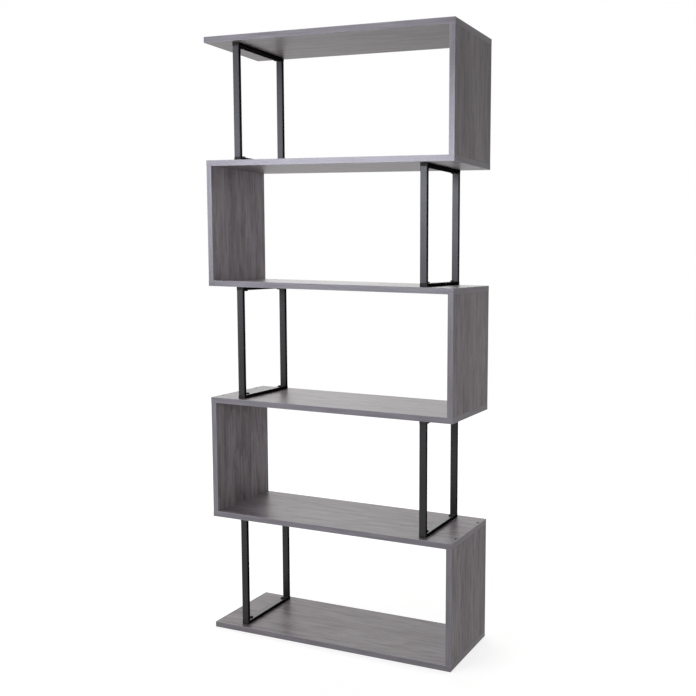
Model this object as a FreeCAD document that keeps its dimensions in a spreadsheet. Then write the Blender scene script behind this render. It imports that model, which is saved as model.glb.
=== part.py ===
import FreeCAD, Part
import os
import Sketcher

# Zigzag bookshelf: six full-width shelves, five side panels on alternate ends, and a steel frame
# at the open end of every tier. Tiers and shelves are counted from the floor up.
# Origin at the middle of the footprint on the floor, +X to the right, front towards -Y, +Z up.

TIERS = 5
SHELVES = TIERS + 1

# Sides of the outlines drawn for shanks, inserts and round holes, and for the bolt heads that show.
ROUND_SIDES = 8
HEAD_SIDES = 12

# Driving sizes in millimetres.
SIZES = (
    ("shelf_width", 760, "shelf, left end to right end"),
    ("shelf_depth", 232, "shelf and side panel, front to rear"),
    ("board_thickness", 16, "faced particle board of shelves and panels"),
    ("clear_height", 318, "from a shelf to the next one, which is a panel's height"),
    ("band_thickness", 1, "strip glued round the board edges"),
    ("band_bevel", 0.5, "bevel of a strip's two outer edges"),
    ("tube_wide", 20, "frame tube, wide side, which faces the front on an upright"),
    ("tube_narrow", 10, "frame tube, narrow side"),
    ("tube_wall", 1.2, "frame tube wall"),
    ("tube_corner", 1.5, "frame tube outer corner radius"),
    ("frame_inset", 83, "open shelf end to the frame's outer side"),
    ("frame_setback", 15, "shelf edge to the frame, at the front and at the rear"),
    ("plug_cap", 2, "end plug, thickness of the cap that closes a rail"),
    ("plug_reach", 12, "end plug, how far its stem goes into the rail"),
    ("plug_clearance", 0.1, "end plug stem to the tube's inner wall"),
    ("bolt_inset", 17, "upright's inner face to the bolt's axis"),
    ("bolt_shank", 6, "frame bolt, shank diameter"),
    ("bolt_head", 10.5, "frame bolt, head diameter"),
    ("bolt_head_height", 3.3, "frame bolt, head height"),
    ("bolt_dome", 1.6, "frame bolt, height of the head's sloping part"),
    ("bolt_dome_angle", 48, "frame bolt, slope of that part from upright, in degrees"),
    ("bolt_end_gap", 2, "bolt's end to the insert's inner end"),
    ("bolt_clearance", 0.25, "bolt shank to the holes it passes, on the radius"),
    ("insert_outer", 10, "threaded insert, outer diameter"),
    ("insert_clearance", 0.1, "threaded insert to its hole, all round and at its end"),
    ("insert_web", 3, "board left under an insert's blind hole"),
    ("screw_inset", 42, "shelf edge to the axis of a panel screw"),
    ("screw_head", 10, "panel screw, head diameter"),
    ("screw_shank", 7, "panel screw, plain shank diameter"),
    ("screw_core", 5, "panel screw, diameter inside the panel"),
    ("screw_reach", 34, "panel screw, length inside the panel"),
    ("screw_recess", 0.3, "panel screw head below the board's face"),
    ("screw_clearance", 0.1, "panel screw to its hole, on the radius and past its tip"),
    ("screw_slope", 45, "panel screw, slope of the head's underside, in degrees"),
    ("socket_flats", 3.5, "hexagon socket in a bolt head, across flats"),
    ("socket_depth", 2, "hexagon socket depth"),
)

X_AXIS, Y_AXIS, Z_AXIS = FreeCAD.Vector(1, 0, 0), FreeCAD.Vector(0, 1, 0), FreeCAD.Vector(0, 0, 1)
CENTRE = [("0", "0")]

doc = FreeCAD.newDocument("zigzag_bookshelf")
sheet = doc.addObject("Spreadsheet::Sheet", "Sizes")
for row, (alias, value, note) in enumerate(SIZES, start=1):
    sheet.set(f"A{row}", note)
    sheet.set(f"B{row}", str(value))
    sheet.setAlias(f"B{row}", alias)
doc.recompute()


def size(alias):
    """A driving size as an expression."""
    return f"Sizes.{alias}"


def half(expression):
    return f"(({expression}) / 2)"


def minus(expression):
    return f"(-({expression}))"


# Distances that several pieces share, as expressions of the driving sizes.
PITCH = f"({size('board_thickness')} + {size('clear_height')})"
HALF_CLEAR = half(size("clear_height"))
CORE_WIDTH = f"({size('shelf_width')} - 2 * {size('band_thickness')})"
CORE_DEPTH = f"({size('shelf_depth')} - 2 * {size('band_thickness')})"
FRAME_HALF_DEPTH = f"({half(size('shelf_depth'))} - {size('frame_setback')})"
BOLT_Y = f"({FRAME_HALF_DEPTH} - {size('tube_narrow')} - {size('bolt_inset')})"
SCREW_Y = f"({half(size('shelf_depth'))} - {size('screw_inset')})"
INSERT_HOLE_DEPTH = f"({size('board_thickness')} - {size('insert_web')})"
INSERT_LENGTH = f"({INSERT_HOLE_DEPTH} - {size('insert_clearance')})"
INSERT_HOLE = f"({size('insert_outer')} + 2 * {size('insert_clearance')})"
BOLT_HOLE = f"({size('bolt_shank')} + 2 * {size('bolt_clearance')})"
SCREW_HOLE = f"({size('screw_shank')} + 2 * {size('screw_clearance')})"
PILOT_HOLE = f"({size('screw_core')} + 2 * {size('screw_clearance')})"
PILOT_DEPTH = f"({size('screw_reach')} + {size('screw_clearance')})"
SINK_DIAMETER = f"({size('screw_head')} + 2 * {size('screw_recess')} + 2 * {size('screw_clearance')})"
FLAT = f"cos({180 / ROUND_SIDES} deg)"


def slope_height(wide, narrow):
    """Height of a sloping screw head or sink between two diameters, measured on its flats."""
    return f"({half(f'{wide} - {narrow}')} * {FLAT} / tan({size('screw_slope')} * 1 deg))"


HEAD_SLOPE_HEIGHT = slope_height(size("screw_head"), size("screw_shank"))
SINK_DEPTH = slope_height(SINK_DIAMETER, SCREW_HOLE)


def panel_side(tier):
    """+1 where the tier's panel is at the right end, -1 at the left; its frame is at the other end."""
    return 1 if tier % 2 else -1


def panel_x(tier):
    return f"({panel_side(tier)} * ({size('shelf_width')} - {size('board_thickness')}) / 2)"


def frame_x(tier):
    outer = f"{half(size('shelf_width'))} - {size('frame_inset')} - {half(size('tube_wide'))}"
    return f"({-panel_side(tier)} * ({outer}))"


def shelf_z(number):
    """Underside of a shelf."""
    return f"({number - 1} * {PITCH})"


def tier_middle(tier):
    """Half-way between the two shelves of a tier."""
    return f"({shelf_z(tier)} + {size('board_thickness')} + {HALF_CLEAR})"


def place(piece, x="0", y="0", z="0"):
    """Binds a piece's position."""
    for axis, expression in zip("xyz", (x, y, z)):
        piece.setExpression(f"Placement.Base.{axis}", expression)
    return piece


def new_body(name):
    body = doc.addObject("PartDesign::Body", name)
    body.Label = name
    return body


def new_sketch(body, plane, lift="0"):
    """A sketch on one of the body's own planes, moved along that plane's normal by lift."""
    base = next(f for f in body.Origin.OriginFeatures if f.Role == plane)
    sketch = body.newObject("Sketcher::SketchObject", f"{body.Name}_sketch")
    sketch.AttachmentSupport = [(base, "")]
    sketch.MapMode = "FlatFace"
    sketch.setExpression("AttachmentOffset.Base.z", lift)
    return sketch


def draw_outline(sketch, corners):
    """A closed outline of straight lines, every corner tied to a pair of expressions."""
    first, count = sketch.GeometryCount, len(corners)
    spots = [FreeCAD.Vector(*(float(sheet.evalExpression(c)) for c in corner), 0) for corner in corners]
    sketch.addGeometry([Part.LineSegment(spots[i], spots[(i + 1) % count]) for i in range(count)], False)
    ties = []
    for i in range(count):
        ties.append(Sketcher.Constraint("Coincident", first + i, 2, first + (i + 1) % count, 1))
    pinned = sketch.ConstraintCount + count
    for i, spot in enumerate(spots):
        ties.append(Sketcher.Constraint("DistanceX", -1, 1, first + i, 1, spot.x))
        ties.append(Sketcher.Constraint("DistanceY", -1, 1, first + i, 1, spot.y))
    sketch.addConstraint(ties)
    for i, expression in enumerate(e for corner in corners for e in corner):
        sketch.setExpression(f"Constraints[{pinned + i}]", expression)


def draw_rectangle(sketch, width, height):
    """A rectangle centred on the sketch's origin."""
    right, top = half(width), half(height)
    left, low = minus(right), minus(top)
    draw_outline(sketch, [(left, low), (right, low), (right, top), (left, top)])


def draw_rounds(sketch, diameter, centres, sides=ROUND_SIDES):
    """Many-sided outlines for round things, their corners on circles round centres given as expressions."""
    radius = half(diameter)
    turns = [f"{(k + 0.5) * 360 / sides} deg" for k in range(sides)]
    for x, y in centres:
        corners = [(f"({x} + {radius} * cos({turn}))", f"({y} + {radius} * sin({turn}))") for turn in turns]
        draw_outline(sketch, corners)


def draw_tube(sketch):
    """The outer outline of the frame tube."""
    radius = size("tube_corner")
    corners = []  # each rounded corner is drawn with two facets
    for start, (across, up) in zip((0, 90, 180, 270), ((1, 1), (-1, 1), (-1, -1), (1, -1))):
        x = f"{across} * ({half(size('tube_wide'))} - {radius})"
        y = f"{up} * ({half(size('tube_narrow'))} - {radius})"
        for angle in (start, start + 45, start + 90):
            corners.append((f"({x} + {radius} * cos({angle} deg))", f"({y} + {radius} * sin({angle} deg))"))
    draw_outline(sketch, corners)


def front_and_rear(x, y):
    """Centres of a pair of holes, one near each long edge of a shelf."""
    return [(x, minus(y)), (x, y)]


def pad(body, sketch, length, both_sides=False, slope=None, downwards=False):
    """Raises a sketch; a slope in degrees widens it on the way, and narrows it where negative."""
    feature = body.newObject("PartDesign::Pad", f"{body.Name}_pad")
    feature.Profile = sketch
    feature.setExpression("Length", length)
    feature.Reversed = downwards
    if both_sides:
        feature.SideType = "Symmetric"
    if slope is not None:
        feature.setExpression("TaperAngle", slope)
    doc.recompute()


def must_cut(body, before):
    """Stops the build if a cut took nothing off."""
    doc.recompute()
    if body.Shape.Volume > before - 1e-3:
        raise RuntimeError(f"a cut in {body.Label} removed nothing")


def pocket(body, sketch, depth=None, upwards=False, slope=None):
    """A pocket of the given depth, or right through on both sides of the sketch."""
    before = body.Shape.Volume
    feature = body.newObject("PartDesign::Pocket", f"{body.Name}_pocket")
    feature.Profile = sketch
    if depth is None:
        feature.Type = "ThroughAll"
        feature.SideType = "Symmetric"
    else:
        feature.setExpression("Length", depth)
        feature.Reversed = upwards
    if slope is not None:
        feature.setExpression("TaperAngle", slope)
    must_cut(body, before)


def countersunk(body, face, centres, upwards=False):
    """Through holes for panel screws, sunk from the face at the given height."""
    through = new_sketch(body, "XY_Plane", face)
    draw_rounds(through, SCREW_HOLE, centres)
    pocket(body, through)
    sink = new_sketch(body, "XY_Plane", face)
    draw_rounds(sink, SINK_DIAMETER, centres)
    pocket(body, sink, SINK_DEPTH, upwards, slope=minus(size("screw_slope")))


def hexagon_socket(body, top):
    """A hexagon recess sunk from height top."""
    flats, corner = half(size("socket_flats")), f"({size('socket_flats')} / sqrt(3))"
    side = half(corner)
    sketch = new_sketch(body, "XY_Plane", top)
    draw_outline(sketch, [
        (corner, "0"), (side, flats), (minus(side), flats),
        (minus(corner), "0"), (minus(side), minus(flats)), (side, minus(flats)),
    ])
    pocket(body, sketch, size("socket_depth"))


def mirrored(source, normal):
    copy = doc.addObject("Part::Mirroring", f"{source.Name}_mirrored")
    copy.Source = source
    copy.Normal = normal
    return copy


def group(name, pieces):
    """Separate solids that share one node."""
    joined = doc.addObject("Part::Compound", name)
    joined.Label = name
    joined.Links = pieces
    return joined


def four_corners(name, piece):
    """A piece and its images at front and rear, low and high, about the middle of its tier."""
    pair = group(f"{name}_low", [piece, mirrored(piece, Y_AXIS)])
    return group(name, [pair, mirrored(pair, Z_AXIS)])


def shelf_board(number):
    """The core of a shelf, with the holes for the tier above it and for the tier below it."""
    body = new_body(f"shelf_{number}")
    sketch = new_sketch(body, "XY_Plane")
    draw_rectangle(sketch, CORE_WIDTH, CORE_DEPTH)
    pad(body, sketch, size("board_thickness"))
    under, top = "0", size("board_thickness")
    if number <= TIERS:
        countersunk(body, under, front_and_rear(panel_x(number), SCREW_Y), upwards=True)
        inserts = new_sketch(body, "XY_Plane", top)
        draw_rounds(inserts, INSERT_HOLE, front_and_rear(frame_x(number), BOLT_Y))
        pocket(body, inserts, INSERT_HOLE_DEPTH)
    if number > 1:
        countersunk(body, top, front_and_rear(panel_x(number - 1), SCREW_Y))
        inserts = new_sketch(body, "XY_Plane", under)
        draw_rounds(inserts, INSERT_HOLE, front_and_rear(frame_x(number - 1), BOLT_Y))
        pocket(body, inserts, INSERT_HOLE_DEPTH, upwards=True)
    return place(body, z=shelf_z(number))


def bevelled(rear, front, low, high):
    """Cross-section of a strip whose outer face is at front, with its two outer corners bevelled."""
    bevel = size("band_bevel")
    inner = f"({front} + {bevel})"
    return [
        (front, f"({low} + {bevel})"), (inner, low), (rear, low),
        (rear, high), (inner, high), (front, f"({high} - {bevel})"),
    ]


def lying_strip(name, length):
    """Strip along X on a board's edge, its glued face on Y = 0 and its outer face towards -Y."""
    body = new_body(name)
    sketch = new_sketch(body, "YZ_Plane")
    draw_outline(sketch, bevelled("0", minus(size("band_thickness")), "0", size("board_thickness")))
    pad(body, sketch, length, both_sides=True)
    return body


def standing_strip(name, length):
    """Strip along Z, placed and faced in the same way."""
    body = new_body(name)
    sketch = new_sketch(body, "XY_Plane")
    right = half(size("board_thickness"))
    section = bevelled("0", minus(size("band_thickness")), minus(right), right)
    draw_outline(sketch, [(x, y) for y, x in section])
    pad(body, sketch, length)
    return body


def shelf_band(number):
    """Four strips round a shelf: long ones over the front and rear edges, short ones between them."""
    name = f"shelf_{number}_edge_band"
    front = place(lying_strip(f"{name}_front", size("shelf_width")), y=minus(half(CORE_DEPTH)))
    right = lying_strip(f"{name}_right", CORE_DEPTH)
    right.Placement.Rotation = FreeCAD.Rotation(Z_AXIS, 90)
    place(right, x=half(CORE_WIDTH))
    strips = [front, mirrored(front, Y_AXIS), right, mirrored(right, X_AXIS)]
    return place(group(name, strips), z=shelf_z(number))


def side_panel(tier):
    """The core of a side panel, with pilot holes in its lower and upper edges."""
    body = new_body(f"side_panel_{tier}")
    sketch = new_sketch(body, "XY_Plane")
    draw_rectangle(sketch, size("board_thickness"), CORE_DEPTH)
    pad(body, sketch, size("clear_height"))
    for lift, upwards in (("0", True), (size("clear_height"), False)):
        pilots = new_sketch(body, "XY_Plane", lift)
        draw_rounds(pilots, PILOT_HOLE, front_and_rear("0", SCREW_Y))
        pocket(body, pilots, PILOT_DEPTH, upwards)
    return place(body, x=panel_x(tier), z=f"({shelf_z(tier)} + {size('board_thickness')})")


def panel_band(tier):
    """Strips over a panel's front and rear edges."""
    name = f"side_panel_{tier}_edge_band"
    front = place(standing_strip(f"{name}_front", size("clear_height")), y=minus(half(CORE_DEPTH)))
    strips = group(name, [front, mirrored(front, Y_AXIS)])
    return place(strips, x=panel_x(tier), z=f"({shelf_z(tier)} + {size('board_thickness')})")


def draw_tube_bore(sketch, clearance="0"):
    """The inner outline of the frame tube, drawn in by clearance."""
    shrink = f"(2 * {size('tube_wall')} + 2 * {clearance})"
    draw_rectangle(sketch, f"({size('tube_wide')} - {shrink})", f"({size('tube_narrow')} - {shrink})")


def frame_tube(name, plane, length):
    """Rectangular tube square to a plane, centred on its own origin."""
    body = new_body(name)
    sketch = new_sketch(body, plane)
    draw_tube(sketch)
    pad(body, sketch, length, both_sides=True)
    bore = new_sketch(body, plane)
    draw_tube_bore(bore)
    pocket(body, bore)
    return body


def upright(tier, end, sign):
    """Upright standing between the two rails, its wide side to the front."""
    length = f"({size('clear_height')} - 2 * {size('tube_narrow')})"
    body = frame_tube(f"frame_{tier}_{end}_upright", "XY_Plane", length)
    y = f"({sign} * ({FRAME_HALF_DEPTH} - {half(size('tube_narrow'))}))"
    return place(body, x=frame_x(tier), y=y, z=tier_middle(tier))


def rail(tier, end, sign):
    """Rail lying flat against a shelf, drilled for two bolts."""
    length = f"(2 * ({FRAME_HALF_DEPTH} - {size('plug_cap')}))"
    body = frame_tube(f"frame_{tier}_{end}_rail", "XZ_Plane", length)
    holes = new_sketch(body, "XY_Plane")
    draw_rounds(holes, BOLT_HOLE, front_and_rear("0", BOLT_Y))
    pocket(body, holes)
    z = f"({tier_middle(tier)} + {sign} * ({HALF_CLEAR} - {half(size('tube_narrow'))}))"
    return place(body, x=frame_x(tier), z=z)


def end_plugs(tier):
    """Plugs that close the rails' four open ends: a cap and a stem inside the tube."""
    name = f"frame_{tier}_end_plugs"
    body = new_body(f"{name}_first")
    outline = new_sketch(body, "XZ_Plane")
    draw_tube(outline)
    pad(body, outline, size("plug_cap"))
    stem = new_sketch(body, "XZ_Plane")
    draw_tube_bore(stem, size("plug_clearance"))
    pad(body, stem, size("plug_reach"), downwards=True)
    low = f"({half(size('tube_narrow'))} - {HALF_CLEAR})"
    place(body, y=f"({size('plug_cap')} - {FRAME_HALF_DEPTH})", z=low)
    return place(four_corners(name, body), x=frame_x(tier), z=tier_middle(tier))


def frame_bolts(tier):
    """Bolts through the rails into the shelves, heads inside the frame."""
    name = f"frame_{tier}_bolts"
    body = new_body(f"{name}_first")
    rim_height = f"({size('bolt_head_height')} - {size('bolt_dome')})"
    rim = new_sketch(body, "XY_Plane")
    draw_rounds(rim, size("bolt_head"), CENTRE, HEAD_SIDES)
    pad(body, rim, rim_height)
    dome = new_sketch(body, "XY_Plane", rim_height)
    draw_rounds(dome, size("bolt_head"), CENTRE, HEAD_SIDES)
    pad(body, dome, size("bolt_dome"), slope=minus(size("bolt_dome_angle")))
    shank = new_sketch(body, "XY_Plane")
    draw_rounds(shank, size("bolt_shank"), CENTRE)
    reach = f"({size('tube_narrow')} + {INSERT_LENGTH} - {size('bolt_end_gap')})"
    pad(body, shank, reach, downwards=True)
    hexagon_socket(body, size("bolt_head_height"))
    place(body, y=minus(BOLT_Y), z=f"({size('tube_narrow')} - {HALF_CLEAR})")
    return place(four_corners(name, body), x=frame_x(tier), z=tier_middle(tier))


def tier_inserts(tier):
    """Threaded inserts sunk flush into the shelves under a frame's bolts."""
    name = f"tier_{tier}_inserts"
    body = new_body(f"{name}_first")
    sketch = new_sketch(body, "XY_Plane", minus(INSERT_LENGTH))
    draw_rounds(sketch, size("insert_outer"), CENTRE)
    draw_rounds(sketch, BOLT_HOLE, CENTRE)
    pad(body, sketch, INSERT_LENGTH)
    place(body, y=minus(BOLT_Y), z=minus(HALF_CLEAR))
    return place(four_corners(name, body), x=frame_x(tier), z=tier_middle(tier))


def panel_screws(tier):
    """Screws through both shelves into a panel's ends, heads sunk just below the shelf faces."""
    name = f"side_panel_{tier}_screws"
    body = new_body(f"{name}_first")
    seat = f"({size('board_thickness')} - {size('screw_recess')})"
    neck = f"({seat} - {HEAD_SLOPE_HEIGHT})"
    core = new_sketch(body, "XY_Plane")
    draw_rounds(core, size("screw_core"), CENTRE)
    pad(body, core, size("screw_reach"), downwards=True)
    shank = new_sketch(body, "XY_Plane")
    draw_rounds(shank, size("screw_shank"), CENTRE)
    pad(body, shank, neck)
    head = new_sketch(body, "XY_Plane", neck)
    draw_rounds(head, size("screw_shank"), CENTRE)
    pad(body, head, HEAD_SLOPE_HEIGHT, slope=size("screw_slope"))
    place(body, y=minus(SCREW_Y), z=HALF_CLEAR)
    return place(four_corners(name, body), x=panel_x(tier), z=tier_middle(tier))


nodes = []
for number in range(1, SHELVES + 1):
    nodes += [shelf_board(number), shelf_band(number)]
for tier in range(1, TIERS + 1):
    nodes += [side_panel(tier), panel_band(tier), panel_screws(tier)]
    nodes += [upright(tier, "front", -1), upright(tier, "rear", 1)]
    nodes += [rail(tier, "bottom", -1), rail(tier, "top", 1)]
    nodes += [end_plugs(tier), frame_bolts(tier)]
nodes.append(group("threaded_inserts", [tier_inserts(tier) for tier in range(1, TIERS + 1)]))
doc.recompute()

for piece in doc.Objects:
    if "Invalid" in piece.State or "Error" in piece.State:
        raise RuntimeError(f"{piece.Label} failed: {piece.State}")
for node in nodes:
    if node.Shape.isNull() or not node.Shape.isValid():
        raise RuntimeError(f"{node.Label} has no valid shape")

os.makedirs("parts", exist_ok=True)
for node in nodes:
    node.Shape.exportStep(f"parts/{node.Label}.step")
    print(f"{node.Label}: {len(node.Shape.Solids)} solids, {node.Shape.Volume / 1000:.1f} cm3")
box = Part.makeCompound([node.Shape for node in nodes]).BoundBox
print(f"{len(nodes)} nodes, {box.XLength:.1f} x {box.YLength:.1f} x {box.ZLength:.1f} mm")
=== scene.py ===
# %% [markdown]
# # A zigzag bookshelf in grey oak and black steel
#
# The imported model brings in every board, strip, tube and fastener at its true size, in metres.
# This lesson dresses those pieces: a woodgrain facing for the boards, a matching edge band, a
# powder coat for the steel frames, and smooth turned bolts and screws in place of faceted ones.

# %% Load the fixed frame
import math
import bmesh
import bpy
from mathutils import Matrix, Vector


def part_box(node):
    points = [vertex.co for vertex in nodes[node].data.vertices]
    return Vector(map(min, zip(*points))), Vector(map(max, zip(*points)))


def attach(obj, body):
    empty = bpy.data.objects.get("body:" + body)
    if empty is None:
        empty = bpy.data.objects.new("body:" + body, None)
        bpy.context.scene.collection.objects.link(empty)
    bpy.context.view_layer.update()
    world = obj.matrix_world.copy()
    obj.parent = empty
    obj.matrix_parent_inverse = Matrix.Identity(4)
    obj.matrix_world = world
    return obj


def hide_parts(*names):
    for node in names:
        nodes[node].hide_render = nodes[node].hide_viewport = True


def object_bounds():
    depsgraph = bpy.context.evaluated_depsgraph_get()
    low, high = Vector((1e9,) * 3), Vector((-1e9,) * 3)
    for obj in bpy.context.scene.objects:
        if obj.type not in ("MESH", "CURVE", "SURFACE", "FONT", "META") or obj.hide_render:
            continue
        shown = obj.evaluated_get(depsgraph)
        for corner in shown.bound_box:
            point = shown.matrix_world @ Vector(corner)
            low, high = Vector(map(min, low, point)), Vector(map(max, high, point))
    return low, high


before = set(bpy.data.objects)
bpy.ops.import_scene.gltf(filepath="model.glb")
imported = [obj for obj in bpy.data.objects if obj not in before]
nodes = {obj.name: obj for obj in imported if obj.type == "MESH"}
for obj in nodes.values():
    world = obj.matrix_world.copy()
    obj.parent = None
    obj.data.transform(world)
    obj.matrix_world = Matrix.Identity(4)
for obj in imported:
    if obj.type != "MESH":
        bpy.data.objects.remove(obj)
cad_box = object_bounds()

X, Y, Z = range(3)
TIERS = sum(name.startswith("side_panel_") and name[-1].isdigit() for name in nodes)
shelf_low, shelf_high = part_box("shelf_1")
board = shelf_high[Z] - shelf_low[Z]
tier_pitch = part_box("shelf_2")[0][Z] - shelf_low[Z]
print(f"{len(nodes)} pieces in {TIERS} tiers, pitch {tier_pitch:.3f} m, board {board:.3f} m")

# %% [markdown]
# ## Camera
#
# The camera stood to the right of the bookshelf at about chest height, close enough for the shelves
# to fan out. The lens is shifted sideways, as in a picture that was cropped afterwards, so the optical
# axis meets the image right of its middle. A plain centred camera could be turned towards the bookshelf
# instead, but then the uprights would lean differently. The shift stays when the view goes round the
# object, so it is kept small enough for the other sides to stay in the picture, and a slight turn of
# the camera does the rest.

# %% Place the camera
IMAGE_SIDE = 696
FOCAL_PIXELS = 845.9
AXIS_PIXEL = (540, 338)
SENSOR_WIDTH = 36
CAMERA_PLACE = Vector((1.2939, -2.0685, 1.1085))
AZIMUTH, ELEVATION, ROLL = (math.radians(angle) for angle in (19.186, 5.671, 1.014))


def put(name, data):
    """A new object in the scene, at the origin."""
    placed = bpy.data.objects.new(name, data)
    bpy.context.scene.collection.objects.link(placed)
    return placed


lens = bpy.data.cameras.new("photo_camera")
lens.sensor_width = SENSOR_WIDTH
lens.lens = FOCAL_PIXELS / IMAGE_SIDE * SENSOR_WIDTH
lens.shift_x = (IMAGE_SIDE / 2 - AXIS_PIXEL[X]) / IMAGE_SIDE
lens.shift_y = (AXIS_PIXEL[Y] - IMAGE_SIDE / 2) / IMAGE_SIDE
camera = put("photo_camera", lens)

back = Vector((
    math.sin(AZIMUTH) * math.cos(ELEVATION),
    -math.cos(AZIMUTH) * math.cos(ELEVATION),
    math.sin(ELEVATION),
))
level_right = Vector((math.cos(AZIMUTH), math.sin(AZIMUTH), 0))
level_up = back.cross(level_right)
right = math.cos(ROLL) * level_right + math.sin(ROLL) * level_up
up = math.cos(ROLL) * level_up - math.sin(ROLL) * level_right
turn = Matrix((right, up, back)).transposed().to_4x4()
camera.matrix_world = Matrix.Translation(CAMERA_PLACE) @ turn
bpy.context.scene.camera = camera
print(f"lens {lens.lens:.1f} mm, shift {lens.shift_x:.3f}, {lens.shift_y:.3f}")

# %% [markdown]
# ## Helpers for node trees
#
# Every finish below is a tree of nodes. Nodes can be placed and wired by hand in the editor, but a
# finish is easier to read, and to change, as a short list of layers. So one helper adds a node and
# feeds its inputs, with links or with plain values, and the others build on it.

# %% Add and feed nodes
def feed(tree, node, inputs):
    """Links each input that is given a socket, and sets each that is given a plain value."""
    for name, value in inputs.items():
        if isinstance(value, bpy.types.NodeSocket):
            tree.links.new(value, node.inputs[name])
        else:
            node.inputs[name].default_value = value


def add(tree, kind, inputs=None, **options):
    """Adds a node to a tree, sets its options and feeds its inputs, by name or by number."""
    node = tree.nodes.new(kind)
    for name, value in options.items():
        setattr(node, name, value)
    feed(tree, node, inputs or {})
    return node


def calc(tree, operation, *values):
    """One Math node; each value is a socket or a number."""
    return add(tree, "ShaderNodeMath", dict(enumerate(values)), operation=operation).outputs[0]


def empty_material(name):
    """A material whose tree has no nodes yet."""
    material = bpy.data.materials.new(name)
    material.use_nodes = True
    material.node_tree.nodes.clear()
    return material

# %% [markdown]
# ## White room
#
# The picture was made against white. More light would turn any background white, but it would bleach
# the object too. So the world asks the Light Path node what it is seen by: to the camera and to
# reflections it is plain white, so that satin paint and laminate show a bright room at a low angle, and
# for the light that falls on the object it stays at a plain level.

# %% Build the room
FILL_STRENGTH = 0.62
FILL_COLOUR = (1, 0.99, 0.98, 1)


def grey(level):
    """A colour with the same level in red, green and blue."""
    return (level, level, level, 1)


def seen_directly(tree):
    """1 for rays from the camera, from a reflection or through glass, else 0."""
    path = add(tree, "ShaderNodeLightPath").outputs
    reflected = calc(tree, "MAXIMUM", path["Is Glossy Ray"], path["Is Transmission Ray"])
    return calc(tree, "MAXIMUM", path["Is Camera Ray"], reflected)


def mix_shaders(tree, factor, first, second):
    """The first shader where the factor is 0, the second where it is 1."""
    return add(tree, "ShaderNodeMixShader", {0: factor, 1: first, 2: second}).outputs[0]


world = bpy.data.worlds.new("white_room")
world.use_nodes = True
sky = world.node_tree
sky.nodes.clear()
fill = add(sky, "ShaderNodeBackground", {"Color": FILL_COLOUR, "Strength": FILL_STRENGTH}).outputs[0]
white = add(sky, "ShaderNodeBackground", {"Color": grey(1), "Strength": 1.0}).outputs[0]
add(sky, "ShaderNodeOutputWorld", {"Surface": mix_shaders(sky, seen_directly(sky), fill, white)})
bpy.context.scene.world = world
bpy.context.scene.view_settings.view_transform = "Standard"
print(f"world light {FILL_STRENGTH}")

# %% [markdown]
# ## Floor and dark card
#
# The floor is one large sheet of pale paper, a hair below the bookshelf. To the camera it glows, so it
# comes out white, but it still takes a shadow. A dark card hangs over the right end, as in a studio
# where some light has to be kept off: the top panel is the darkest of the three on that side. Neither
# the camera nor a reflection sees the card, and it isn't part of the bookshelf.

# %% Lay the floor and hang the card
FLOOR_HALF = 30
FLOOR_DROP = 0.0005
PAPER_BOUNCE = 0.85
PAPER_SHADE = 0.5
PAPER_GLOW = 0.70
CARD_GAP = 0.05
CARD_WIDTH = 0.62
CARD_HALF_DEPTH = 0.6
CARD_RISE = 0.054


def level_sheet(name, low, high, height):
    """A flat rectangle of the stage between two corners in plan."""
    mesh = bpy.data.meshes.new(name)
    plan = (low, (high[X], low[Y]), high, (low[X], high[Y]))
    mesh.from_pydata([(x, y, height) for x, y in plan], [], [(0, 1, 2, 3)])
    sheet = put(name, mesh)
    return sheet


floor = level_sheet("studio_floor", (-FLOOR_HALF, -FLOOR_HALF), (FLOOR_HALF, FLOOR_HALF), -FLOOR_DROP)
paper = empty_material("white_paper")
pulp = paper.node_tree
bounce = add(pulp, "ShaderNodeBsdfDiffuse", {"Color": grey(PAPER_BOUNCE)}).outputs[0]
shadowed = add(pulp, "ShaderNodeBsdfDiffuse", {"Color": grey(PAPER_SHADE)}).outputs[0]
glow = add(pulp, "ShaderNodeEmission", {"Color": grey(1), "Strength": PAPER_GLOW}).outputs[0]
lit = add(pulp, "ShaderNodeAddShader", {0: shadowed, 1: glow}).outputs[0]
add(pulp, "ShaderNodeOutputMaterial", {"Surface": mix_shaders(pulp, seen_directly(pulp), bounce, lit)})
floor.data.materials.append(paper)

card_left = cad_box[1][X] + CARD_GAP
card_height = cad_box[1][Z] + CARD_RISE
card_corners = (card_left, -CARD_HALF_DEPTH), (card_left + CARD_WIDTH, CARD_HALF_DEPTH)
card = level_sheet("dark_card", *card_corners, card_height)
felt = empty_material("black_felt")
soot = add(felt.node_tree, "ShaderNodeBsdfDiffuse", {"Color": grey(0.01)}).outputs[0]
add(felt.node_tree, "ShaderNodeOutputMaterial", {"Surface": soot})
card.data.materials.append(felt)
card.visible_camera = False
card.visible_glossy = False
print(f"floor {2 * FLOOR_HALF} m square, card {CARD_WIDTH} m wide at {card_height:.2f} m")

# %% [markdown]
# ## Lamps
#
# Studio light comes from softboxes, broad flat lamps whose size softens the shadows. One stands high
# at the front left, a larger one at the rear and a weak one at the left. Two more light only some
# pieces, which Blender calls light linking: a bluish one for the front edges and the uprights, and a
# small one for the left panels. Without that they would spill onto the shelves.

# %% Set up the lamps
COOL = (0.97, 0.98, 1.0)
WARM = (1.0, 0.99, 0.98)
WARMER = (1.0, 0.98, 0.97)
BLUISH = (0.86, 0.87, 1.0)


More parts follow.
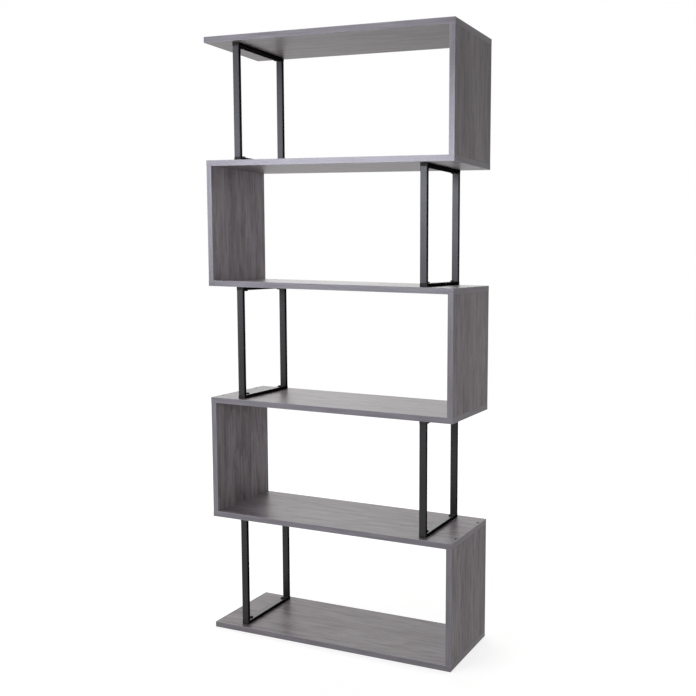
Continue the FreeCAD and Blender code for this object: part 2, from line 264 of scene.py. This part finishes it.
def softbox(name, place, aim, size, power, colour, spread=180, only=()):
    """A flat lamp at a place, turned to face a point; it lights all pieces, or only those named."""
    lamp = bpy.data.lights.new(name, "AREA")
    lamp.shape = "RECTANGLE"
    lamp.size, lamp.size_y = size
    lamp.energy = power
    lamp.color = colour
    lamp.spread = math.radians(spread)
    holder = put(name, lamp)
    facing = (Vector(aim) - Vector(place)).to_track_quat("-Z", "Y").to_matrix().to_4x4()
    holder.matrix_world = Matrix.Translation(place) @ facing
    holder.visible_camera = False
    if only:
        receivers = bpy.data.collections.new(f"lit_by_{name}")
        holder.light_linking.receiver_collection = receivers
        for piece in only:
            receivers.objects.link(nodes[piece])
    print(f"{name}: {power} W on {len(only) or 'all'} pieces")


softbox("front_softbox", (-1.9, -2.4, 3.6), (0, 0, 0.8), (2.2, 1.8), 30, COOL)
softbox("rear_softbox", (-1.2, 2.4, 2.5), (0, 0, 0.9), (3.2, 2.0), 28, WARM)
softbox("side_card", (-2.0, 1.9, 1.4), (0, 0, 0.7), (1.8, 1.6), 2, WARM)
left_panels = [f"side_panel_{n}" for n in range(2, TIERS + 1, 2)]
softbox("panel_card", (1.1, -1.0, 1.13), (-0.364, 0, 1.13), (0.9, 0.3), 1, WARMER, 60, left_panels)
fronts = [name for name in nodes if name.endswith(("_edge_band", "_upright"))]
softbox("edge_softbox", (-0.88, -1.95, 1.47), (0, -0.1, 1.27), (1.55, 0.7), 23, BLUISH, 130, fronts)

# %% [markdown]
# ## Helpers for numbers and patterns
#
# A pattern is a number at each point of a surface. Noise gives the number, a few sums and steps shape
# it, and a ramp turns it into colour. Noise that is squeezed along two axes and not along the third
# comes out as streaks, which is all that woodgrain needs.

# %% Shape patterns
def weigh(tree, start, *layers):
    """start plus every layer's distance from its middle value, times that layer's weight."""
    total = start
    for value, weight in layers:
        total = calc(tree, "MULTIPLY_ADD", calc(tree, "SUBTRACT", value, 0.5), weight, total)
    return total


def remap(tree, value, low, high, to_low, to_high):
    """A smooth step of a value from one range to another."""
    node = add(tree, "ShaderNodeMapRange", {
        "Value": value, "From Min": low, "From Max": high, "To Min": to_low, "To Max": to_high,
    }, interpolation_type="SMOOTHSTEP")
    return node.outputs["Result"]


def scales(axis, on_axis, elsewhere):
    """Noise scales for X, Y and Z: one number on an axis, another on the other two."""
    return tuple(on_axis if each == axis else elsewhere for each in (X, Y, Z))


def stretched_noise(tree, coords, stretch, detail=2.0, roughness=0.5, distortion=0.0):
    """Noise whose patches are pulled out along the axes where stretch is small."""
    mapped = add(tree, "ShaderNodeMapping", {"Vector": coords, "Scale": stretch}).outputs["Vector"]
    noise = add(tree, "ShaderNodeTexNoise", {
        "Vector": mapped, "Scale": 1.0, "Detail": detail, "Roughness": roughness, "Distortion": distortion,
    })
    return noise.outputs["Fac"]


def ramp(tree, value, stops):
    """A colour ramp with stops of position and linear colour."""
    node = add(tree, "ShaderNodeValToRGB", {"Fac": value})
    elements = node.color_ramp.elements
    while len(elements) < len(stops):
        elements.new(0.5)
    for element, (position, colour) in zip(elements, stops):
        element.position = position
        element.color = (*colour, 1)
    return node.outputs["Color"]

# %% [markdown]
# ## Helpers for finishes
#
# A finish is a Principled shader with a colour, a roughness and a bump. Its patterns read Object
# coordinates, which are metres on the bookshelf, so every scale below is a number per metre and a board
# keeps its grain wherever it is seen from. UV maps would do as well, but flat boards don't need them.

# %% Put a finish together
def new_finish(name):
    """A material with its tree, its Principled shader and its object coordinates."""
    material = empty_material(name)
    tree = material.node_tree
    shader = add(tree, "ShaderNodeBsdfPrincipled")
    add(tree, "ShaderNodeOutputMaterial", {"Surface": shader.outputs["BSDF"]})
    coords = add(tree, "ShaderNodeTexCoord").outputs["Object"]
    return material, tree, shader, coords


def blend_colours(tree, factor, first, second, blend="MIX"):
    """One Mix node for colours; 0, 6 and 7 are its sockets for factor and colours."""
    inputs = {0: factor, 6: first, 7: second}
    return add(tree, "ShaderNodeMix", inputs, data_type="RGBA", blend_type=blend).outputs[2]


def faces_along(tree, axis):
    """How far a surface faces along an axis, from -1 to 1."""
    normal = add(tree, "ShaderNodeNewGeometry").outputs["Normal"]
    return add(tree, "ShaderNodeSeparateXYZ", {"Vector": normal}).outputs[axis]


def relief(tree, height, strength, depth):
    """Bump from a height between 0 and 1, over a depth in metres."""
    inputs = {"Height": height, "Strength": strength, "Distance": depth}
    return add(tree, "ShaderNodeBump", inputs).outputs["Normal"]


def dress(names, material):
    """Gives one material to CAD nodes, in place of the plain ones they came with."""
    for name in names:
        nodes[name].data.materials.clear()
        nodes[name].data.materials.append(material)
    print(f"{material.name}: {len(names)} pieces")

# %% [markdown]
# ## Growth lines
#
# Where a saw cuts the rings of a tree flat, they show as nested arches along the middle of the board.
# A number that rises along the board, and with the square of the distance from its middle, is the same
# along such an arch. Cutting that number into equal steps gives one arch after another. Noise moves the
# middle from side to side and makes the lines ragged, so that no two arches are alike.

# %% Draw the arches
ARCHES_PER_METRE = 7
ARCH_BOW = 420
ARCH_MIDDLE = 0.06
ARCH_WANDER = 0.14
ARCH_RAGGED = 0.9


def cathedral(tree, coords, along):
    """Nested arches of flat-sawn growth lines along a board's middle, 0 to 1 over each step."""
    axes = add(tree, "ShaderNodeSeparateXYZ", {"Vector": coords}).outputs
    wander = stretched_noise(tree, coords, scales(along, 1.6, 5))
    sideways = calc(tree, "SUBTRACT", axes[Y], ARCH_MIDDLE)
    across = calc(tree, "MULTIPLY_ADD", wander, ARCH_WANDER, sideways)
    bow = calc(tree, "MULTIPLY", calc(tree, "MULTIPLY", across, across), ARCH_BOW)
    phase = calc(tree, "ADD", calc(tree, "MULTIPLY", axes[along], ARCHES_PER_METRE), bow)
    ragged = stretched_noise(tree, coords, scales(along, 9, 70))
    return calc(tree, "FRACT", calc(tree, "MULTIPLY_ADD", ragged, ARCH_RAGGED, phase))

# %% [markdown]
# ## Grey-oak facing
#
# The boards are particle board with a printed and embossed oak facing. Real oak has broad tonal bands,
# flakes, long lines, short dark strokes, fine fibres and pores, all running one way. A picture of a
# board would bring them along, but it repeats and has one size. Here each is one layer of noise, pulled
# out along the grain, and one ramp turns their sum into colour. Strokes and pores then darken it. The
# grain runs along X on a shelf and along Z on a panel, so the same function makes both.

# %% Make the facing
OAK_TONES = [
    (0.20, (0.082, 0.067, 0.076)),
    (0.50, (0.145, 0.128, 0.140)),
    (0.80, (0.195, 0.180, 0.191)),
]
UNDERSIDE_DULLER = 0.06


def oak_facing(name, along, depth, gloss, specular):
    """Embossed oak laminate with its grain along one axis; depth scales its tone."""
    material, tree, shader, coords = new_finish(name)

    def grain(run, cross, **more):
        return stretched_noise(tree, coords, scales(along, run, cross), **more)

    bands = grain(1.6, 13, distortion=0.3)
    flakes = grain(8, 46, detail=3, roughness=0.6)
    lines = grain(5, 150)
    strokes = grain(14, 120, detail=3)
    fibres = grain(16, 420)
    pores = grain(60, 1250, detail=1)
    shown = remap(tree, grain(1.4, 7, detail=1), 0.45, 0.62, 0.0, 1.0)
    arches = calc(tree, "MULTIPLY", calc(tree, "SUBTRACT", cathedral(tree, coords, along), 0.5), shown)

    tone = weigh(tree, 0.5, (bands, 0.8), (flakes, 1.0), (lines, 0.7), (fibres, 0.4))
    tone = calc(tree, "MULTIPLY_ADD", arches, 0.25, tone)
    colour = ramp(tree, tone, [(spot, [depth * part for part in rgb]) for spot, rgb in OAK_TONES])
    stroked = remap(tree, strokes, 0.54, 0.68, 1.0, 0.72)
    pitted = remap(tree, pores, 0.60, 0.70, 1.0, 0.80)
    shade = calc(tree, "MULTIPLY", stroked, pitted)
    satin = remap(tree, faces_along(tree, Z), -0.8, 0.0, gloss + UNDERSIDE_DULLER, gloss)
    feed(tree, shader, {
        "Base Color": blend_colours(tree, 1.0, colour, shade, "MULTIPLY"),
        "Roughness": weigh(tree, satin, (flakes, 0.12), (bands, 0.08)),
        "Specular IOR Level": specular,
        "Normal": relief(tree, weigh(tree, 0.5, (pitted, 0.8), (fibres, 0.3)), 0.2, 0.0002),
    })
    return material


shelves = [f"shelf_{n}" for n in range(1, TIERS + 2)]
panels = [f"side_panel_{n}" for n in range(1, TIERS + 1)]
# Painted shade: the panels get the same facing as the shelves at a darker tone, depth 1.0 against 1.2, for
# side faces that stand in shade.
dress(shelves, oak_facing("oak_facing_lengthwise", X, depth=1.2, gloss=0.36, specular=0.42))
dress(panels, oak_facing("oak_facing_upright", Z, depth=1.0, gloss=0.50, specular=0.3))

# %% [markdown]
# ## Edge band
#
# A thin printed strip closes every board edge. Its pattern is a set of fine lines along the strip, and
# its two arrises are coloured a little paler, a painted highlight where each arris would catch the light,
# which draws the outline of each board. The highlight could come from a bevel of its own, but the real
# strip hardly has one, so it is colour: the pattern measures how far a point lies from the nearer arris.
# Shelves repeat from tier to tier and panels stand mirrored at both ends, so one modulo and one absolute
# value serve for all. End strips are a little duller.

# %% Make the edge band
BAND_TONES = [
    (0.20, (0.093, 0.086, 0.096)),
    (0.50, (0.135, 0.127, 0.140)),
    (0.80, (0.176, 0.168, 0.183)),
]
# Painted highlight: a paler colour along both arrises of the band, where the arris would catch the light.
ARRIS_HIGHLIGHT_TONE = (0.26, 0.25, 0.27, 1)
ARRIS_HIGHLIGHT_FROM = 0.0005
ARRIS_HIGHLIGHT_TO = 0.0018
BAND_ROUGHNESS = 0.28
ENDS_DULLER = 0.2


def edge_band(name, across, first_edge, thickness):
    """Printed band; across is the axis over its width, and first_edge an arris on that axis."""
    material, tree, shader, coords = new_finish(name)
    lines = stretched_noise(tree, coords, scales(across, 950, 9))
    patches = stretched_noise(tree, coords, scales(across, 110, 9))
    colour = ramp(tree, weigh(tree, 0.5, (lines, 0.3), (patches, 0.8)), BAND_TONES)

    position = add(tree, "ShaderNodeSeparateXYZ", {"Vector": coords}).outputs[across]
    step = calc(tree, "SUBTRACT", calc(tree, "ABSOLUTE", position), first_edge)
    within = calc(tree, "FLOORED_MODULO", step, tier_pitch)
    from_middle = calc(tree, "ABSOLUTE", calc(tree, "SUBTRACT", within, thickness / 2))
    from_arris = calc(tree, "SUBTRACT", thickness / 2, from_middle)
    # Painted highlight: the colour turns paler towards each arris, over its first millimetre or two.
    painted_highlight = remap(tree, from_arris, ARRIS_HIGHLIGHT_FROM, ARRIS_HIGHLIGHT_TO, 0.45, 0.0)
    end_strip = remap(tree, calc(tree, "ABSOLUTE", faces_along(tree, X)), 0.6, 0.9, 0.0, 1.0)
    satin = calc(tree, "MULTIPLY_ADD", end_strip, ENDS_DULLER, BAND_ROUGHNESS)
    feed(tree, shader, {
        "Base Color": blend_colours(tree, painted_highlight, colour, ARRIS_HIGHLIGHT_TONE),
        "Roughness": weigh(tree, satin, (lines, 0.15)),
        "Specular IOR Level": 0.4,
        "Normal": relief(tree, lines, 0.1, 0.0001),
    })
    return material


shelf_bands = [f"{name}_edge_band" for name in shelves]
dress(shelf_bands, edge_band("oak_band_lengthwise", Z, 0.0, board))
panel_bands = [f"{name}_edge_band" for name in panels]
panel_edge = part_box("side_panel_1")[0][X]
dress(panel_bands, edge_band("oak_band_upright", X, panel_edge, board))

# %% [markdown]
# ## Powder-coated frames
#
# The steel tube is sprayed with black powder and baked, which leaves a satin skin with a fine
# orange-peel ripple. Black paint has next to no colour of its own, so its look comes from what it
# reflects: the ripple goes into the bump, and handling into roughness and colour. The faces that look
# up are wiped smooth, so they shine more, and they are coloured a paler grey: painted sheen, for the
# reflection of a bright room that upper faces show at a low angle.

# %% Coat the frames
# Painted sheen: the paler grey that upper faces get stands for the reflection they show, not for a colour
# of the paint.
PAINTED_SHEEN_GREY = (0.024, 0.023, 0.022, 1)
PAINT_ROUGHNESS = 0.41
WIPED_SMOOTHER = -0.12
TEXTURED_SHINE = 0.36
WIPED_SHINE = 0.75


def powder_coat(name):
    """Satin black paint: finely textured on upright faces, wiped smooth on upper ones, which get a paler
    grey as painted sheen.
    """
    material, tree, shader, coords = new_finish(name)
    peel = stretched_noise(tree, coords, (900, 900, 900))
    handling = stretched_noise(tree, coords, (14, 14, 9), detail=3, roughness=0.6)
    black = ramp(tree, handling, [(0.3, (0.004, 0.004, 0.005)), (0.7, (0.008, 0.008, 0.009))])
    facing_up = remap(tree, faces_along(tree, Z), 0.5, 0.9, 0.0, 1.0)
    # Painted sheen on the faces that look up, stronger where the handling pattern is high.
    painted_sheen = calc(tree, "MULTIPLY", facing_up, remap(tree, handling, 0.3, 0.7, 0.5, 1.0))
    satin = calc(tree, "MULTIPLY_ADD", facing_up, WIPED_SMOOTHER, PAINT_ROUGHNESS)
    slant = add(tree, "ShaderNodeLayerWeight", {"Blend": 0.5}).outputs["Facing"]
    textured = remap(tree, slant, 0.24, 0.40, TEXTURED_SHINE, 0.0)
    feed(tree, shader, {
        "Base Color": blend_colours(tree, painted_sheen, black, PAINTED_SHEEN_GREY),
        "Roughness": weigh(tree, satin, (handling, 0.14), (peel, 0.06)),
        "Specular IOR Level": calc(tree, "MAXIMUM", textured, calc(tree, "MULTIPLY", facing_up, WIPED_SHINE)),
        "Normal": relief(tree, peel, 0.12, 0.0002),
    })
    return material


tubes = [name for name in nodes if name.endswith(("_upright", "_rail"))]
dress(tubes, powder_coat("satin_black_paint"))

# %% [markdown]
# ## Plugs and inserts
#
# Moulded plugs close the rails. Their plastic has a fine spark-eroded texture and is a little duller
# than the paint. The threaded inserts sit inside the boards, out of sight; they are zinc-plated, with
# the faint crystals that plating leaves. Both are an even speckle, so one function serves for both.

# %% Make the plug plastic and the zinc
def speckled(name, scale, dark, light, roughness, metallic, specular, depth):
    """A finish with fine even grain: moulded plastic, plated or blackened metal."""
    material, tree, shader, coords = new_finish(name)
    speckle = stretched_noise(tree, coords, (scale, scale, scale))
    feed(tree, shader, {
        "Base Color": ramp(tree, speckle, [(0.35, dark), (0.65, light)]),
        "Roughness": weigh(tree, roughness, (speckle, 0.2)),
        "Metallic": metallic,
        "Specular IOR Level": specular,
        "Normal": relief(tree, speckle, 0.2, depth),
    })
    return material


plastic = speckled(
    "moulded_plastic", scale=1600, dark=(0.013, 0.013, 0.014), light=(0.024, 0.024, 0.026),
    roughness=0.5, metallic=0.0, specular=0.4, depth=0.0001,
)
zinc = speckled(
    "zinc_plating", scale=700, dark=(0.46, 0.46, 0.43), light=(0.62, 0.62, 0.60),
    roughness=0.35, metallic=1.0, specular=0.5, depth=0.00005,
)
dress([name for name in nodes if name.endswith("_end_plugs")], plastic)
dress(["threaded_inserts"], zinc)

# %% [markdown]
# ## Bolts and screws
#
# Each frame is held by button-head bolts and each panel by sunk screws, all with a hexagon socket.
# One fastener is turned like work on a lathe: a list of radii and heights is carried round the axis,
# and where the list says so the ring is a hexagon instead of a circle. That makes the socket part of
# the same closed skin, which a cut made afterwards would not give so cleanly.

# %% Turn a profile
MM = 1000  # millimetres in a metre
ROUND_STEPS = 48
ROUND, HEXAGON = "round", "hexagon"


def ring(shape, radius, height, form):
    """The points of one turn, or the single point where the radius is zero."""
    if radius == 0:
        return [shape.verts.new((0, 0, height / MM))]
    points = []
    for step in range(ROUND_STEPS):
        angle = 2 * math.pi * step / ROUND_STEPS
        reach = radius
        if form == HEXAGON:
            reach = radius / math.cos((angle + math.pi / 6) % (math.pi / 3) - math.pi / 6)
        spot = (reach * math.cos(angle) / MM, reach * math.sin(angle) / MM, height / MM)
        points.append(shape.verts.new(spot))
    return points


def turned(name, profile):
    """A closed mesh from rows of radius, height and ring form in millimetres, tip to socket."""
    shape = bmesh.new()
    rings = [ring(shape, *row) for row in profile]
    for low, high in zip(rings, rings[1:]):
        for step in range(ROUND_STEPS):
            after = (step + 1) % ROUND_STEPS
            corners = [low[step % len(low)], low[after % len(low)]]
            corners += [high[after % len(high)], high[step % len(high)]]
            shape.faces.new(list(dict.fromkeys(corners)))
    bmesh.ops.recalc_face_normals(shape, faces=shape.faces)
    mesh = bpy.data.meshes.new(name)
    shape.to_mesh(mesh)
    shape.free()
    print(f"{name}: {len(mesh.polygons)} faces")
    return bpy.data.objects.new(name, mesh)


def dome(outer, rim, flat, top, steps=7):
    """The rounded shoulder of a button head, from its rim to the flat round its socket."""
    quarter = [math.pi / 2 * k / steps for k in range(steps + 1)]
    return [(flat + (outer - flat) * math.cos(a), rim + (top - rim) * math.sin(a), ROUND) for a in quarter]

# %% [markdown]
# ## One of each
#
# The bolt's zero height is the face of the rail that its head lies on, and the screw's is the top of
# its head. Where they sit, and how long the bolt is, comes from the faceted fasteners of the packed
# model, so the smooth ones follow any change of it. Only the screw's reach into the panel is typed in,
# because the box round a panel's four screws doesn't show where one of them ends.

# %% Turn one bolt and one screw
rail_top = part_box("frame_1_bottom_rail")[1][Z]
tip = (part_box("frame_1_bolts")[0][Z] - rail_top) * MM
bolt = turned("one_bolt", [
    (0, tip, ROUND), (2.3, tip, ROUND), (2.85, tip + 0.6, ROUND), (2.85, 0, ROUND),  # shank
    (5.0, 0, ROUND), (5.2, 0.25, ROUND), *dome(5.2, 0.9, 3.0, 3.3),  # button head
    (2.05, 3.3, HEXAGON), (1.95, 3.1, HEXAGON), (1.95, 1.3, HEXAGON), (0, 0.9, ROUND),  # socket
])
SCREW_REACH = 34
screw_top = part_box("side_panel_1_screws")[1][Z]
board_end = (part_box("side_panel_1")[1][Z] - screw_top) * MM
point = board_end - SCREW_REACH
screw = turned("one_screw", [
    (0, point, ROUND), (1.2, point + 0.4, ROUND), (2.3, point + 4, ROUND),  # point
    (2.3, board_end, ROUND), (3.2, board_end, ROUND), (3.2, -1.4, ROUND),  # shank and neck
    (4.5, -0.1, ROUND), (4.4, 0, ROUND),  # sunk head
    (2.05, 0, HEXAGON), (1.95, -0.2, HEXAGON), (1.95, -2.6, HEXAGON), (0, -3.2, ROUND),  # socket
])

# %% [markdown]
# ## A rule for where fasteners go
#
# Every tier repeats the same four places, front and rear, low and high, and changes ends from tier to
# tier. That is a rule, so a Geometry Nodes tree places the fasteners: a line of points climbs the
# bookshelf, each point swaps sides, and a fastener and its upside-down twin sit on each. Placing forty
# copies by hand would work too, but the tree keeps the rule in one place with its sizes as inputs.

# %% Build the placing tree
PLACING_INPUTS = {
    "Fastener": "NodeSocketObject", "Finish": "NodeSocketMaterial", "Tiers": "NodeSocketInt",
    "Pitch": "NodeSocketFloat", "First Middle": "NodeSocketFloat", "Rise": "NodeSocketFloat",
    "First End": "NodeSocketFloat", "Row": "NodeSocketFloat",
}


def placing_tree():
    """A tree that sets a fastener and its twin at the front and the rear of every tier."""
    tree = bpy.data.node_groups.new("fasteners_by_tier", "GeometryNodeTree")
    for name, kind in PLACING_INPUTS.items():
        tree.interface.new_socket(name, in_out="INPUT", socket_type=kind)
    tree.interface.new_socket("Geometry", in_out="OUTPUT", socket_type="NodeSocketGeometry")
    given = add(tree, "NodeGroupInput").outputs

    def vector(x=0.0, y=0.0, z=0.0):
        return add(tree, "ShaderNodeCombineXYZ", {"X": x, "Y": y, "Z": z}).outputs[0]

    def moved(points, offset):
        return add(tree, "GeometryNodeSetPosition", {"Geometry": points, "Offset": offset}).outputs[0]

    line = add(tree, "GeometryNodeMeshLine", {
        "Count": given["Tiers"],
        "Start Location": vector(z=given["First Middle"]),
        "Offset": vector(z=given["Pitch"]),
    }, mode="OFFSET").outputs[0]
    index = add(tree, "GeometryNodeInputIndex").outputs[0]
    swap = calc(tree, "MULTIPLY_ADD", calc(tree, "MODULO", index, 2.0), -2.0, 1.0)
    ladder = moved(line, vector(x=calc(tree, "MULTIPLY", swap, given["First End"])))

    single = add(tree, "GeometryNodeObjectInfo", {"Object": given["Fastener"]}).outputs["Geometry"]
    upside_down = {"Geometry": single, "Rotation": (math.pi, 0, 0)}
    twin = add(tree, "GeometryNodeTransform", upside_down).outputs[0]
    everything = add(tree, "GeometryNodeJoinGeometry")
    down = calc(tree, "MULTIPLY", given["Rise"], -1.0)
    for shape, rise in ((single, given["Rise"]), (twin, down)):
        for row in (given["Row"], calc(tree, "MULTIPLY", given["Row"], -1.0)):
            here = {"Points": moved(ladder, vector(y=row, z=rise)), "Instance": shape}
            copies = add(tree, "GeometryNodeInstanceOnPoints", here).outputs[0]
            tree.links.new(copies, everything.inputs[0])
    solid = add(tree, "GeometryNodeRealizeInstances", {"Geometry": everything.outputs[0]}).outputs[0]
    coated = {"Geometry": solid, "Material": given["Finish"]}
    finished = add(tree, "GeometryNodeSetMaterial", coated).outputs[0]
    add(tree, "NodeGroupOutput", {"Geometry": finished})
    return tree


placing = placing_tree()
print(f"placing tree with {len(placing.nodes)} nodes")

# %% [markdown]
# ## Set the fasteners
#
# Bolts sit on the inner faces of the rails and screws just below the faces of the shelves. The places
# are read from the faceted pieces they replace. The result is baked to a plain mesh, because copies
# that exist only as instances are lost on export. The finish is blackened steel, dark with a faint
# brownish speckle.

# %% Set bolts and screws
SHARP_ANGLE = math.radians(35)
blackened = speckled(
    "blackened_steel", scale=500, dark=(0.004, 0.004, 0.004), light=(0.010, 0.009, 0.009),
    roughness=0.55, metallic=0.0, specular=0.2, depth=0.00005,
)


def placed_copies(name, inputs):
    """The placing tree's result for these inputs, as a plain mesh."""
    carrier = put(f"{name}_carrier", bpy.data.meshes.new(f"{name}_carrier"))
    modifier = carrier.modifiers.new("places", "NODES")
    modifier.node_group = placing
    for socket in placing.interface.items_tree:
        if socket.in_out == "INPUT":
            modifier[socket.identifier] = inputs[socket.name]
    bpy.context.view_layer.update()
    graph = bpy.context.evaluated_depsgraph_get()
    mesh = bpy.data.meshes.new_from_object(carrier.evaluated_get(graph), depsgraph=graph)
    mesh.name = name
    bpy.data.objects.remove(carrier)
    return mesh


def set_fasteners(name, single, replaced, zero_height):
    """Places a fastener and its twins by the rule, and lets them stand for the faceted nodes."""
    low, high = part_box(replaced[0])
    middle = (low[Z] + high[Z]) / 2
    head = high[X] - low[X]
    mesh = placed_copies(name, {
        "Fastener": single, "Finish": blackened, "Tiers": TIERS, "Pitch": tier_pitch,
        "First Middle": middle, "Rise": zero_height - middle,
        "First End": (low[X] + high[X]) / 2, "Row": (high[Y] - low[Y] - head) / 2,
    })
    mesh.polygons.foreach_set("use_smooth", [True] * len(mesh.polygons))
    mesh.set_sharp_from_angle(angle=SHARP_ANGLE)
    piece = put(name, mesh)
    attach(piece, "root")
    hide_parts(*replaced)
    print(f"{name}: {len(mesh.polygons)} faces")


set_fasteners("frame_bolts", bolt, [f"frame_{n}_bolts" for n in range(1, TIERS + 1)], rail_top)
set_fasteners("panel_screws", screw, [f"{name}_screws" for name in panels], screw_top)
bpy.data.objects.remove(bolt)
bpy.data.objects.remove(screw)
